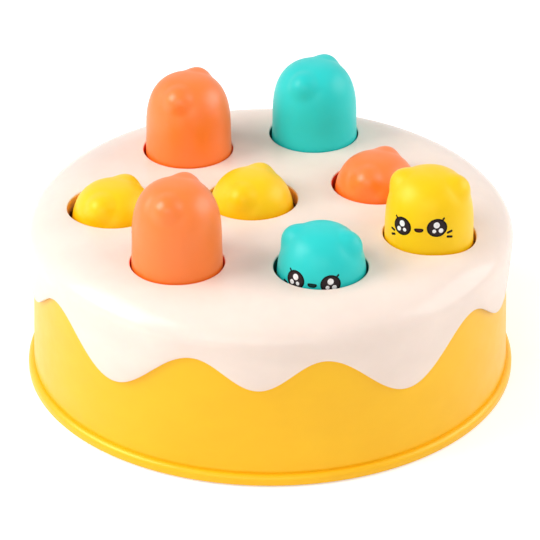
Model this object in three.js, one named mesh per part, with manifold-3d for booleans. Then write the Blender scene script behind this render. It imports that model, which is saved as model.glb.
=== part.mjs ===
// Whack-a-mole toy in the form of an iced cake, with no batteries or cord.
// Eight moles stand in round holes in the icing. They work in four pairs, and a see-saw rocker
// under each pair raises one mole when the other is pressed. Every head also turns on its plunger.
// Millimetres, +Z up. The origin is on the floor under the middle of the base. Seen from the
// front the view runs along +Y, with +X on the right.

import * as THREE from 'three';
import { mergeVertices } from 'three/addons/utils/BufferGeometryUtils.js';
import Module from 'manifold-3d';

const wasm = await Module();
wasm.setup();

// Clearances
const gap = 0.3; // Between pieces that touch
const overrun = 1; // How far a cutter runs past the face that it cuts
const bite = 0.5; // How far joined shapes run into each other
const stopClearance = 0.6; // Left at the end of each plunger's stroke
const rockerClearance = 0.6; // Between a rocker's low end and the floor cover

// Cake base
const footStandOff = 0.5; // The rubber feet hold the rim off the floor by this much
const baseRadius = 100; // The bead round the bottom, the widest ring of the toy
const beadHeight = 4.4;
const beadRounding = 0.8;
const beadReach = 2.4; // The bead stands out this far from the foot of the wall
const wallTaper = 1.5; // The wall leans in by this much as it rises
const wallThickness = 2.2;

// Icing cap
const cakeHeight = 72.3; // From the rim of the base to the flat top of the icing
const icingReach = 2.5; // The icing's side stands out this far from the top of the wall
const icingBulge = 0.55; // The skirt swells out by this much below the shoulder
const bulgeDrop = 14; // How far below the shoulder the swelling is full
const shoulderWidth = 21.3;
const shoulderDrop = 12.4;
const icingThickness = 2.4;
const wallTopDrop = 14; // From the top of the icing down to the top of the wall
const ledgeOverhang = 0.5; // The cap's inner ledge reaches this far past the wall that it sits on

// Drips round the icing's skirt, long and short in turn, each a wave between two crests
const dripPairs = 5;
const crestDrop = 5.9; // From the shoulder down to a crest of the skirt's edge
const longDripDrop = 19.7;
const shortDripDrop = 11.9;
const longDripWidthShare = 0.585; // Of the way round that a long and a short drip take together
const firstDripDegrees = -128.75; // Where one of the long drips hangs
const dripLip = 1.2; // Thickness of the icing at the very edge of a drip
const dripRounding = 8; // The edge reaches its full thickness over this height

// Mole holes and their guide sleeves
const holeRadius = 18.85;
const sleeveWall = 1.75;
const sleeveLength = 5.7; // From the top of the icing

// Mole heads
const headClearance = 0.75; // Between the foot of a head and its hole
const headTaper = 0.45; // The head's side leans in by this much as it rises
const domeHeight = 22;
const domeSquareness = 2.5; // Power of the dome's outline, 2 for an ellipse
const headWall = 2.2;
const earRadius = 4.2;
const earOffset = 11.3; // From the head's axis to the middle of an ear
const earDrop = 5.6; // From the crown down to the middle of an ear
const headBossRadius = 5;

// Stroke
const lowCrownHeight = 10.2; // A fully pressed mole's crown above the icing

// Plungers
const stemRadius = 4.5;
const flangeOverlap = 1.35; // The flange is wider than the hole by this much and can't pass it
const flangeThickness = 1.6;
const columnHeight = 21.7;
const spindleRadius = 2.4;
const spindleLength = 13.6;
const pegRadius = 2.5;
const pegLength = 1.1;
const footRadius = 5;
const footThickness = 2;

// Rockers and their pins
const padRadius = 2.8;
const rockerWidth = 8;
const hubRadius = 4.5;
const barMiddleHalf = 3.2;
const barEndHalf = 1;
const pinRadius = 1.5;
const pinHeadRadius = 2.6;
const pinHeadThickness = 0.8;
const rockerSideClearance = 0.6;
const legThickness = 3;
const legWidth = 9;
const legBelowPivot = 4;

// Guide plate, floor cover, posts, screws and rubber feet
const plateThickness = 2.4;
const plateMargin = 2.5; // From the plate's edge to the inside of the wall
const coverThickness = 2.4;
const coverRecess = 1.1; // From the rim up to the underside of the floor cover
const postInset = 9.9; // From the inside of the wall in to the middle of a post
const postRadius = 4.2;
const postShortfall = 0.2; // A post's top stays this far below the flat ceiling, inside the shoulder
const ribThickness = 2.4;
const postDegrees = [25, 98, 155, 208, 262, 313];
const screwRadius = 1.5;
const screwHeadRadius = 3;
const screwHeadHeight = 1.2;
const screwBite = 9; // Length of a screw inside the cap's post
const rubberFootRadius = 6;
const rubberFootInset = 12; // From the circle of the posts in to that of the rubber feet
const rubberFootChamfer = 0.4;

// Facets round each kind of turned piece
const cakeFacets = 80;
const holeFacets = 24;
const headFacets = 18;
const plungerFacets = 12;
const smallFacets = 10;
const earFacets = 8;
const domeSteps = 5;
const shoulderSteps = 4;
const skirtSteps = 3;
const mergeTolerance = 1e-4; // Vertices closer than this are one

// Hole centres as shares of the base's radius, and the way that each face looks, in degrees
const moles = {
  back_left: { placeShares: [-0.342, 0.4825], faceDegrees: 160, colour: 'coral' },
  centre: { placeShares: [-0.0738, 0.0325], faceDegrees: 160, colour: 'yellow' },
  back_right: { placeShares: [0.1837, 0.6267], faceDegrees: 155, colour: 'teal' },
  right: { placeShares: [0.4378, 0.1677], faceDegrees: 158, colour: 'coral' },
  front_left: { placeShares: [-0.3642, -0.4957], faceDegrees: 163, colour: 'coral' },
  left: { placeShares: [-0.6338, -0.0365], faceDegrees: 155, colour: 'yellow' },
  front_right: { placeShares: [0.6344, -0.2579], faceDegrees: -106, colour: 'yellow' },
  front: { placeShares: [0.1987, -0.5321], faceDegrees: -106, colour: 'teal' },
};

const colours = {
  coral: 0xf4703c,
  teal: 0x3fcabb,
  yellow: 0xfcc92b,
  base: 0xf7a823,
  icing: 0xf8ece2,
  inside: 0xf2f1ec,
  steel: 0xb9bcc0,
  rubber: 0x55565a,
};

// Radii that follow from the sizes above
const wallFootRadius = baseRadius - beadReach;
const wallTopRadius = wallFootRadius - wallTaper;
const baseInnerRadius = wallTopRadius - wallThickness;
const icingRadius = wallTopRadius + icingReach;
const postCircleRadius = baseInnerRadius - postInset;
const rubberFootCircleRadius = postCircleRadius - rubberFootInset;
const headFootRadius = holeRadius - headClearance;
const headShoulderRadius = headFootRadius - headTaper;
const flangeRadius = holeRadius + flangeOverlap;
const boreRadius = screwRadius + gap;
const turn = 2 * Math.PI;

// Heights, from the floor up. Four half strokes stand one above the other inside the cake: below
// the pivots, above them, above the guide plate and below the sleeves.
const rimHeight = footStandOff;
const icingTop = rimHeight + cakeHeight;
const shoulderHeight = icingTop - shoulderDrop;
const crestHeight = shoulderHeight - crestDrop;
const wallTop = icingTop - wallTopDrop;
const sleeveBottom = icingTop - sleeveLength;
const coverUnderside = rimHeight + coverRecess;
const coverTop = coverUnderside + coverThickness;
const rockerRoom = rockerClearance + 2 * padRadius + gap;
const plungerRoom = footThickness + plateThickness + flangeThickness + 3 * stopClearance;
const halfStroke = (sleeveBottom - coverTop - rockerRoom - plungerRoom) / 4;
const pivotHeight = coverTop + rockerClearance + padRadius + halfStroke;
const levelFootHeight = pivotHeight + padRadius + gap;
const plateUnderside = levelFootHeight + halfStroke + footThickness + stopClearance;
const plateTop = plateUnderside + plateThickness;
const levelFlangeHeight = plateTop + stopClearance + halfStroke;
const levelHeadHeight = levelFlangeHeight + flangeThickness + gap;
const headLength = icingTop + lowCrownHeight + halfStroke - levelHeadHeight;

// Each rocker joins the mole that stands high at rest to the one that stands low. The share of the
// half stroke is how far the one is lifted, and the other sunk, from the level position.
const rockers = [
  { name: 'back_left', high: 'back_left', low: 'centre', liftShare: 0.88 },
  { name: 'back_right', high: 'back_right', low: 'right', liftShare: 0.82 },
  { name: 'front_left', high: 'front_left', low: 'left', liftShare: 1 },
  { name: 'front_right', high: 'front_right', low: 'front', liftShare: 0.43 },
];

// A closed solid from any closed three.js geometry, with its faces turned outwards
function solidFrom(geometry) {
  const plain = new THREE.BufferGeometry();
  plain.setAttribute('position', geometry.getAttribute('position').clone());
  const source = geometry.index ? [...geometry.index.array] : [...plain.attributes.position.array.keys()];
  plain.setIndex(geometry.index ? source : source.slice(0, plain.attributes.position.count));
  const merged = mergeVertices(plain, mergeTolerance);
  const points = merged.getAttribute('position');
  const corners = [];
  for (let i = 0; i < merged.index.count; i += 3) {
    const [a, b, c] = [0, 1, 2].map((k) => merged.index.getX(i + k));
    if (a !== b && b !== c && c !== a) corners.push([a, b, c]);
  }
  const at = (k) => new THREE.Vector3().fromBufferAttribute(points, k);
  const volume = corners.reduce((sum, [a, b, c]) => sum + at(a).dot(at(b).cross(at(c))), 0);
  const facing = volume < 0 ? corners.map(([a, b, c]) => [a, c, b]) : corners;
  return new wasm.Manifold(new wasm.Mesh({
    numProp: 3,
    vertProperties: new Float32Array(points.array),
    triVerts: new Uint32Array(facing.flat()),
  }));
}

function geometryFrom(solid) {
  const mesh = solid.getMesh();
  const geometry = new THREE.BufferGeometry();
  geometry.setAttribute('position', new THREE.BufferAttribute(new Float32Array(mesh.vertProperties), 3));
  geometry.setIndex([...mesh.triVerts]);
  geometry.computeVertexNormals();
  return geometry;
}

// A profile of [radius, height] pairs turned about the Z axis
function turnedGeometry(profile, facets) {
  const points = profile.map(([radius, height]) => new THREE.Vector2(radius, height));
  return new THREE.LatheGeometry(points, facets).rotateX(turn / 4);
}

function turned(profile, facets) {
  return solidFrom(turnedGeometry(profile, facets));
}

// An upright rod between two heights, centred at x, y
function rod(radius, bottom, top, facets, x = 0, y = 0) {
  const geometry = new THREE.CylinderGeometry(radius, radius, top - bottom, facets);
  return solidFrom(geometry.rotateX(turn / 4).translate(x, y, (bottom + top) / 2));
}

// A rod along the local Y axis, centred at the origin
function crossRod(radius, length, facets) {
  return solidFrom(new THREE.CylinderGeometry(radius, radius, length, facets));
}

function block(sizeX, sizeY, sizeZ, x, y, z) {
  return new THREE.BoxGeometry(sizeX, sizeY, sizeZ).translate(x, y, z);
}

function joined(first, ...others) {
  return others.reduce((sum, other) => sum.add(other), first);
}

function cut(solid, ...cutters) {
  return cutters.reduce((left, cutter) => left.subtract(cutter), solid);
}

function piece(name, geometry, colour, roughness, metalness = 0) {
  const material = new THREE.MeshStandardMaterial({ color: colour, roughness, metalness });
  const mesh = new THREE.Mesh(geometry, material);
  mesh.name = name;
  return mesh;
}

// Steps from 0 to 1, both ends included
function steps(count) {
  return Array.from({ length: count + 1 }, (_, i) => i / count);
}

// A quarter of a rounded outline: the share of the width and of the height at each step
function quarterShares(count, squareness) {
  return steps(count).map((share) => {
    const angle = share * turn / 4;
    return [Math.sin(angle) ** (2 / squareness), Math.cos(angle) ** (2 / squareness)];
  });
}

function holePlace(key) {
  return moles[key].placeShares.map((share) => share * baseRadius);
}

function postPlace(degrees) {
  const angle = THREE.MathUtils.degToRad(degrees);
  return [postCircleRadius * Math.cos(angle), postCircleRadius * Math.sin(angle)];
}

// The outside of the base's wall, which tapers inwards as it rises
function wallRadiusAt(height) {
  const beadTop = rimHeight + beadHeight;
  const share = (height - beadTop) / (wallTop - beadTop);
  return THREE.MathUtils.lerp(wallFootRadius, wallTopRadius, share);
}

// Height of the skirt's wavy edge at an angle round the cake
function dripEdgeAt(angle) {
  const pairs = (angle - THREE.MathUtils.degToRad(firstDripDegrees)) * dripPairs / turn;
  const fromLong = Math.abs(pairs - Math.round(pairs));
  const isLong = fromLong < longDripWidthShare / 2;
  const share = isLong ? fromLong / longDripWidthShare : (1 / 2 - fromLong) / (1 - longDripWidthShare);
  const drop = isLong ? longDripDrop : shortDripDrop;
  return crestHeight - drop * (1 + Math.cos(share * turn)) / 2;
}

// The outside of the icing's skirt at a height, thinner near the edge of a drip
function skirtRadiusAt(height, edge) {
  const bulgeShare = Math.min((shoulderHeight - height) / bulgeDrop, 1);
  const full = icingRadius + icingBulge * bulgeShare ** 2;
  const lip = wallRadiusAt(height) + gap + dripLip;
  const fromEdge = Math.min((height - edge) / dripRounding, 1);
  return THREE.MathUtils.lerp(lip, full, Math.sqrt(1 - (1 - fromEdge) ** 2));
}

// A turned form whose rows are functions of the angle, each giving a radius and a height
function waved(rows, facets) {
  const geometry = turnedGeometry(rows.map((row) => row(0)), facets);
  const points = geometry.getAttribute('position');
  for (let i = 0; i < points.count; i += 1) {
    const column = Math.floor(i / rows.length) % facets;
    const angle = (column / facets - 1 / 4) * turn;
    const [radius, height] = rows[i % rows.length](angle);
    points.setXYZ(i, radius * Math.cos(angle), radius * Math.sin(angle), height);
  }
  return solidFrom(geometry);
}

// A point on the skirt's outside, at a share of the way from the shoulder down to the edge
function outerSkirtPoint(angle, share) {
  const edge = dripEdgeAt(angle);
  const height = THREE.MathUtils.lerp(shoulderHeight, edge, share);
  return [skirtRadiusAt(height, edge), height];
}

// The same on its inside, which follows the base's wall from the ledge down
function innerSkirtPoint(angle, share) {
  const height = THREE.MathUtils.lerp(wallTop + gap, dripEdgeAt(angle), share);
  return [wallRadiusAt(height) + gap, height];
}

// Icing cap: a flat top, a rounded shoulder, a skirt with drips, sleeves and screw posts
function icingSolid() {
  const shoulderStart = icingRadius - shoulderWidth;
  const innerShoulderWidth = baseInnerRadius - ledgeOverhang - shoulderStart;
  const ceiling = icingTop - icingThickness;
  const ledgeHeight = wallTop + gap;
  const outerShoulder = quarterShares(shoulderSteps, 2).map(([out, up]) => [
    shoulderStart + shoulderWidth * out, shoulderHeight + shoulderDrop * up]);
  const innerShoulder = quarterShares(shoulderSteps - 2, 2).reverse().map(([out, up]) => [
    shoulderStart + innerShoulderWidth * out, ledgeHeight + (ceiling - ledgeHeight) * up]);
  const skirtShares = steps(skirtSteps).slice(1).map((share) => 1 - (1 - share) ** 2);
  const shell = waved([
    () => [0, icingTop],
    ...outerShoulder.map((point) => () => point),
    ...skirtShares.map((share) => (angle) => outerSkirtPoint(angle, share)),
    ...[1, 0].map((share) => (angle) => innerSkirtPoint(angle, share)),
    ...innerShoulder.map((point) => () => point),
    () => [0, ceiling],
  ], cakeFacets);
  const outerForm = turned([
    [0, sleeveBottom], [icingRadius, sleeveBottom], ...[...outerShoulder].reverse(), [0, icingTop],
  ], cakeFacets);
  const keys = Object.keys(moles);
  const sleeves = keys
    .map((key) => rod(holeRadius + sleeveWall, sleeveBottom, ceiling + bite, holeFacets, ...holePlace(key)))
    .map((sleeve) => sleeve.intersect(outerForm));
  const holes = keys.map((key) => rod(
    holeRadius, sleeveBottom - overrun, icingTop + overrun, holeFacets, ...holePlace(key)));
  const postBottom = plateTop + gap;
  const posts = postDegrees.map((degrees) => rod(
    postRadius, postBottom, ceiling - postShortfall, smallFacets, ...postPlace(degrees)));
  const bores = postDegrees.map((degrees) => rod(
    boreRadius, postBottom - overrun, postBottom + screwBite + overrun, smallFacets, ...postPlace(degrees)));
  return cut(joined(shell, ...sleeves, ...posts), ...holes, ...bores);
}

// Cake base: a tapered wall with a bead round the bottom and six screw pillars inside
function baseSolid() {
  const beadTop = rimHeight + beadHeight;
  const shell = turned([
    [baseInnerRadius, rimHeight],
    [baseRadius - beadRounding, rimHeight],
    [baseRadius, rimHeight + beadRounding],
    [baseRadius, beadTop - beadRounding],
    [baseRadius - beadRounding / 2, beadTop],
    [wallFootRadius, beadTop],
    [wallTopRadius, wallTop],
    [baseInnerRadius, wallTop],
    [baseInnerRadius, rimHeight],
  ], cakeFacets);
  const bottom = coverTop + gap;
  const top = plateUnderside - gap;
  const ribLength = baseInnerRadius + bite - postCircleRadius;
  const pillars = postDegrees.flatMap((degrees) => {
    const ribMiddle = postCircleRadius + ribLength / 2;
    const rib = block(ribLength, ribThickness, top - bottom, ribMiddle, 0, (bottom + top) / 2);
    rib.rotateZ(THREE.MathUtils.degToRad(degrees));
    return [rod(postRadius, bottom, top, smallFacets, ...postPlace(degrees)), solidFrom(rib)];
  });
  const bores = postDegrees.map((degrees) => rod(
    boreRadius, bottom - overrun, top + overrun, smallFacets, ...postPlace(degrees)));
  return cut(joined(shell, ...pillars), ...bores);
}

// Floor cover: a plain disc with a countersunk hole for each case screw
function coverSolid() {
  const disc = rod(baseInnerRadius - gap, coverUnderside, coverTop, cakeFacets);
  const holes = postDegrees.flatMap((degrees) => [
    rod(boreRadius, coverUnderside, coverTop + overrun, smallFacets, ...postPlace(degrees)),
    rod(screwHeadRadius + gap, coverUnderside - overrun, coverUnderside + screwHeadHeight + gap,
      smallFacets, ...postPlace(degrees)),
  ]);
  return cut(disc, ...holes);
}

// The level line from one mole of a pair to the other
function rockerLine({ high, low }) {
  const [fromX, fromY] = holePlace(high);
  const [toX, toY] = holePlace(low);
  return {
    x: (fromX + toX) / 2,
    y: (fromY + toY) / 2,
    heading: Math.atan2(toY - fromY, toX - fromX),
    halfLength: Math.hypot(toX - fromX, toY - fromY) / 2,
  };
}

// All rockers are alike, so their arm is half the mean distance between two paired moles
const rockerArm = rockers.reduce((sum, rocker) => sum + rockerLine(rocker).halfLength, 0) / rockers.length;

// Guide plate: a disc that guides the eight stems and carries two legs for each rocker
function guidePlateSolid() {
  const disc = rod(baseInnerRadius - plateMargin, plateUnderside, plateTop, cakeFacets / 2);
  const legBottom = pivotHeight - legBelowPivot;
  const legTop = plateUnderside + bite;
  const legOffset = rockerWidth / 2 + rockerSideClearance + legThickness / 2;
  const pinHoleLength = rockerWidth + 2 * (rockerSideClearance + legThickness + overrun);
  const legs = [];
  const pinHoles = [];
  for (const rocker of rockers) {
    const { x, y, heading } = rockerLine(rocker);
    const placed = new THREE.Matrix4().makeRotationZ(heading).setPosition(x, y, 0);
    for (const side of [-1, 1]) {
      const middle = (legTop + legBottom) / 2;
      const leg = block(legWidth, legThickness, legTop - legBottom, 0, side * legOffset, middle);
      legs.push(solidFrom(leg.applyMatrix4(placed)));
    }
    const hole = new THREE.CylinderGeometry(pinRadius + gap, pinRadius + gap, pinHoleLength, smallFacets);
    pinHoles.push(solidFrom(hole.translate(0, 0, pivotHeight).applyMatrix4(placed)));
  }
  const stemHoles = Object.keys(moles).map((key) => rod(
    stemRadius + gap, plateUnderside - overrun, plateTop + overrun, smallFacets, ...holePlace(key)));
  const screwHoles = postDegrees.map((degrees) => rod(
    boreRadius, plateUnderside - overrun, plateTop + overrun, smallFacets, ...postPlace(degrees)));
  return cut(joined(disc, ...legs), ...pinHoles, ...stemHoles, ...screwHoles);
}

// Mole head, from its open foot at height zero: a domed cup with two ears and a bored boss
function headSolid() {
  const shoulder = headLength - domeHeight;
  const dome = quarterShares(domeSteps, domeSquareness).map(([out, up]) => [
    headShoulderRadius * out, shoulder + domeHeight * up]);
  const outside = turned([...dome, [headFootRadius, 0], [0, 0]], headFacets);
  const ears = [-1, 1].map((side) => solidFrom(
    new THREE.SphereGeometry(earRadius, earFacets, earFacets / 2 + 1).rotateX(turn / 4)
      .translate(0, side * earOffset, headLength - earDrop)));
  const innerDome = quarterShares(domeSteps - 2, domeSquareness).reverse().map(([out, up]) => [
    (headShoulderRadius - headWall) * out, shoulder + (domeHeight - headWall) * up]);
  const hollow = turned([
    [0, -overrun], [headFootRadius - headWall, -overrun], [headFootRadius - headWall, 0],
    ...innerDome], headFacets);
  const bossBottom = columnHeight + gap;
  const boss = rod(headBossRadius, bossBottom, headLength - headWall, smallFacets);
  const bore = rod(spindleRadius + gap, bossBottom - overrun, bossBottom + spindleLength, smallFacets);
  return cut(joined(cut(joined(outside, ...ears), hollow), boss), bore);
}

// Plunger, from its flange's underside at height zero: stem below, column and spindle above
function plungerSolid() {
  const stemBottom = levelFootHeight + footThickness + gap - levelFlangeHeight;
  const shoulder = flangeThickness + columnHeight;
  return turned([
    [0, stemBottom - pegLength],
    [pegRadius, stemBottom - pegLength],
    [pegRadius, stemBottom],
    [stemRadius, stemBottom],
    [stemRadius, 0],
    [flangeRadius, 0],
    [flangeRadius, flangeThickness],
    [headBossRadius, flangeThickness],
    [headBossRadius, shoulder],
    [spindleRadius, shoulder],
    [spindleRadius, shoulder + spindleLength],
    [0, shoulder + spindleLength],
  ], plungerFacets);
}

// Plunger foot, from its underside at height zero: a disc pushed onto the stem's peg
function footSolid() {
  const socketFloor = footThickness - pegLength;
  return turned([
    [0, 0],
    [footRadius, 0],
    [footRadius, footThickness],
    [pegRadius + gap, footThickness],
    [pegRadius + gap, socketFloor],
    [0, socketFloor],
  ], plungerFacets);
}

// Rocker about its own pivot, level: a tapered bar with a bored hub and a round pad at each end
function rockerSolid() {
  const outline = new THREE.Shape([
    [-rockerArm, -barEndHalf], [0, -barMiddleHalf], [rockerArm, -barEndHalf],
    [rockerArm, barEndHalf], [0, barMiddleHalf], [-rockerArm, barEndHalf],
  ].map(([along, up]) => new THREE.Vector2(along, up)));
  const bar = new THREE.ExtrudeGeometry(outline, { depth: rockerWidth, bevelEnabled: false });
  const barSolid = solidFrom(bar.translate(0, 0, -rockerWidth / 2).rotateX(turn / 4));
  const pads = [-1, 1].map((side) => crossRod(padRadius, rockerWidth, smallFacets)
    .translate([side * rockerArm, 0, 0]));
  const hub = crossRod(hubRadius, rockerWidth, smallFacets + 2);
  const bore = crossRod(pinRadius + gap, rockerWidth + 2 * overrun, smallFacets);
  return cut(joined(barSolid, ...pads, hub), bore);
}

// Rocker pin along the local Y axis, with a flat head at one end
function pinSolid() {
  const legsAcross = rockerWidth + 2 * (rockerSideClearance + legThickness);
  const half = legsAcross / 2 + gap;
  return solidFrom(new THREE.LatheGeometry([
    [0, -half],
    [pinRadius, -half],
    [pinRadius, half],
    [pinHeadRadius, half],
    [pinHeadRadius, half + pinHeadThickness],
    [0, half + pinHeadThickness],
  ].map(([radius, along]) => new THREE.Vector2(radius, along)), smallFacets));
}

// Case screw, upright: a flat head in the cover and a shank that reaches into the cap's post
function screwSolid() {
  const headTop = coverUnderside + screwHeadHeight;
  return turned([
    [0, coverUnderside],
    [screwHeadRadius, coverUnderside],
    [screwHeadRadius, headTop],
    [screwRadius, headTop],
    [screwRadius, plateTop + gap + screwBite],
    [0, plateTop + gap + screwBite],
  ], smallFacets);
}

function rubberFootSolid() {
  const top = coverUnderside - gap;
  return turned([
    [0, 0],
    [rubberFootRadius - rubberFootChamfer, 0],
    [rubberFootRadius, rubberFootChamfer],
    [rubberFootRadius, top],
    [0, top],
  ], smallFacets);
}

// Shapes of the pieces that repeat
const shapes = {
  head: geometryFrom(headSolid()),
  plunger: geometryFrom(plungerSolid()),
  foot: geometryFrom(footSolid()),
  rocker: geometryFrom(rockerSolid()),
  pin: geometryFrom(pinSolid()),
  screw: geometryFrom(screwSolid()),
  rubberFoot: geometryFrom(rubberFootSolid()),
};

// One mole with its plunger, raised or sunk from the level position by its lift
function addMole(toy, key, lift) {
  const { faceDegrees, colour } = moles[key];
  const column = new THREE.Group();
  column.position.set(...holePlace(key), lift);
  const head = piece(`mole_head_${key}`, shapes.head, colours[colour], 0.42);
  head.position.z = levelHeadHeight;
  head.rotation.z = THREE.MathUtils.degToRad(faceDegrees);
  const plunger = piece(`plunger_${key}`, shapes.plunger, colours.inside, 0.5);
  plunger.position.z = levelFlangeHeight;
  const foot = piece(`plunger_foot_${key}`, shapes.foot, colours.inside, 0.5);
  foot.position.z = levelFootHeight;
  column.add(head, plunger, foot);
  toy.add(column);
}

// One rocker on its pin, tilted so that its high end carries the raised mole
function addRocker(toy, rocker) {
  const { x, y, heading } = rockerLine(rocker);
  const seat = new THREE.Group();
  seat.position.set(x, y, pivotHeight);
  seat.rotation.z = heading;
  const arm = piece(`rocker_${rocker.name}`, shapes.rocker, colours.inside, 0.5);
  arm.rotation.y = Math.asin(rocker.liftShare * halfStroke / rockerArm);
  const pin = piece(`rocker_pin_${rocker.name}`, shapes.pin, colours.steel, 0.3, 1);
  seat.add(arm, pin);
  toy.add(seat);
}

function addScrewAndFoot(toy, degrees, number) {
  const angle = THREE.MathUtils.degToRad(degrees);
  const screw = piece(`case_screw_${number}`, shapes.screw, colours.steel, 0.3, 1);
  screw.position.set(...postPlace(degrees), 0);
  const foot = piece(`rubber_foot_${number}`, shapes.rubberFoot, colours.rubber, 0.9);
  foot.position.set(rubberFootCircleRadius * Math.cos(angle), rubberFootCircleRadius * Math.sin(angle), 0);
  toy.add(screw, foot);
}

const toy = new THREE.Group();
toy.add(piece('icing_cap', geometryFrom(icingSolid()), colours.icing, 0.35));
toy.add(piece('cake_base', geometryFrom(baseSolid()), colours.base, 0.35));
toy.add(piece('floor_cover', geometryFrom(coverSolid()), colours.base, 0.5));
toy.add(piece('guide_plate', geometryFrom(guidePlateSolid()), colours.inside, 0.5));
for (const rocker of rockers) {
  addMole(toy, rocker.high, rocker.liftShare * halfStroke);
  addMole(toy, rocker.low, -rocker.liftShare * halfStroke);
  addRocker(toy, rocker);
}
postDegrees.forEach((degrees, i) => addScrewAndFoot(toy, degrees, i + 1));

export default toy;
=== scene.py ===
# Looks of the whack-a-mole toy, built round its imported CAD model.
# Lengths are millimetres until a mesh is made, which turns its points into metres. The frame is
# the CAD model's: the floor at zero height, the view from the front along +Y.
import math

import bmesh
import bpy
import numpy as np
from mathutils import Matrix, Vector
from mathutils.geometry import delaunay_2d_cdt


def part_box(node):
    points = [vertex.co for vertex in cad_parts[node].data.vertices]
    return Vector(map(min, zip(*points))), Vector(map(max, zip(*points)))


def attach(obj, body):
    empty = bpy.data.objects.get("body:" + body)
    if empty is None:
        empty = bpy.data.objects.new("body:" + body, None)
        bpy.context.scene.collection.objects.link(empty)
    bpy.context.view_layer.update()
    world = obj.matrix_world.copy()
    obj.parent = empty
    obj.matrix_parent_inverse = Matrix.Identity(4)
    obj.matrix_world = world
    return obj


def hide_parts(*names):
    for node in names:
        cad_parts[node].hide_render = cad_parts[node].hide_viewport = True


MM = 0.001
TURN = 2 * math.pi

# Camera, fitted to the hole rims and the rings of the cake in the photograph
CAMERA_DISTANCE = 1355.3
CAMERA_ELEVATION = math.radians(29.129)
AIM_HEIGHT = 41.33
FRAME_PIXELS = 540
FOCAL_PIXELS = 3308.9
SHIFT_PIXELS = -0.15
SENSOR = 36

# Studio. A lamp's row is its turn round the toy and its height in degrees, its distance, width and
# height in metres, and its watts. Turn 0 is the camera's side and 90 is the right.
LAMPS = {
    "left": (-82, 38, 1.1, 0.8, 0.7, 9.4),
    "right": (97, 28, 1.1, 0.9, 0.7, 6.0),
    "front": (-8, 28, 1.3, 1.2, 0.6, 3.8),
    "overhead": (0, 85, 1.1, 0.9, 0.7, 0.2),
}
LAMP_AIM = Vector((0, 0, 0.05))
FLOOR_RADIUS = 4000
FLOOR_GLOW = 0.4
AMBIENT = 0.41

# Icing cap, as in the CAD source. The rounding of a hole's rim starts a little outside the CAD
# model's hole and ends a little inside it.
ICING_BULGE = 0.55
BULGE_DROP = 14
SHOULDER_WIDTH = 21.3
SHOULDER_DROP = 12.4
ICING_REACH = 2.5
ICING_THICKNESS = 2.4
LEDGE_OVERHANG = 0.5
DRIP_PAIRS = 5
CREST_DROP = 5.9
LONG_DRIP = 19.7
SHORT_DRIP = 11.9
LONG_WIDTH_SHARE = 0.585
FIRST_DRIP = math.radians(-128.75)
DRIP_LIP = 1.2
DRIP_ROUNDING = 8
HOLE_RADIUS = 18.85
HOLE_TRIM = 0.15
HOLE_ROUNDING = 0.35
HOLE_ROUNDING_TILTS = (18, 36, 54, 72, 90)
SLEEVE_WALL = 1.75
SLEEVE_LENGTH = 5.7
GAP = 0.3
# A coloured wall in each hole below the icing's rim. Its colour follows the head in the hole and is
# painted bounce light from that head.
BOUNCE_LINING_DROP = 0.6
BOUNCE_LINING_STAND = 0.3
BOUNCE_LINING_BITE = 0.05
BOUNCE_LINING_CHAMFER = 0.05

# Cake base. The crease above its bead is given as steps inwards from the wall's foot and up from
# the bead.
BEAD_HEIGHT = 4.4
BEAD_REACH = 2.4
BEAD_FOOT_ROUNDING = 0.8
BEAD_ROUNDING = 2.1
BEAD_CREASE = ((0.15, -0.1), (0.2, 0.15))
CREASE_HEIGHT = 0.6
WALL_TAPER = 1.5
WALL_THICKNESS = 2.2
WALL_TOP_DROP = 14
WALL_CHAMFER = 0.3
WALL_CHAMFER_DROP = 0.4
POST_RADIUS = 4.2
POST_CHAMFER = 0.4
RIB_THICKNESS = 2.4
RIB_BITE = 0.5
BORE_RADIUS = 1.8
BORE_DEPTH = 10
PLATE_THICKNESS = 2.4

# Mole heads. The dome and the ears melt into each other more softly than in the CAD source.
HEAD_CLEARANCE = 0.75
HEAD_TAPER = 0.45
DOME_HEIGHT = 25
DOME_SQUARENESS = 2.75
HEAD_WALL = 2.2
HEAD_FOOT_ROUNDING = 0.4
EAR_RADIUS = 5.4
EAR_OFFSET = 10.65
EAR_DROP = 6.6
EAR_BLEND = 2.6
BOSS_RADIUS = 5
BOSS_BORE = 2.7
BOSS_BOTTOM = 22
BOSS_BORE_DEPTH = 13.6

# How a ray from inside a head finds its surface
LONGEST_REACH = 40.0
HALVINGS = 40

# Screws, whose thread is a row of grooves and whose cross slot is cut by two tapered bars
SCREW_HEAD_RADIUS = 3.0
SCREW_HEAD_HEIGHT = 1.2
SCREW_HEAD_ROUNDING = ((0.5, 0), (0.15, 0.15), (0, 0.5))
SCREW_HEAD_MIDDLE = 0.6
SHANK_RADIUS = 1.5
THREAD_PITCH = 1.2
THREAD_DEPTH = 0.35
THREAD_START = 0.6
THREAD_CREST = 0.45
THREAD_END = 0.9
UNTHREADED = 2
SCREW_POINT = 1.2
SCREW_TIP = (0.15, 0.05)
SCREW_SHARP_DEGREES = 30
SLOT_TURNS = (0.5, 2.07)
SLOT_HALF_LENGTH = 1.55
SLOT_HALF_WIDTH = 0.3
SLOT_DEPTH = 0.75
SLOT_TAPER = 0.7
SLOT_OVERRUN = 0.5

# Rubber feet, with a shallow dish in the sole
DISH_SHARE = 0.55
DISH_RIM_SHARE = 0.62
DISH_DEPTH = 0.12
FOOT_ROUNDING = 0.5

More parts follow.
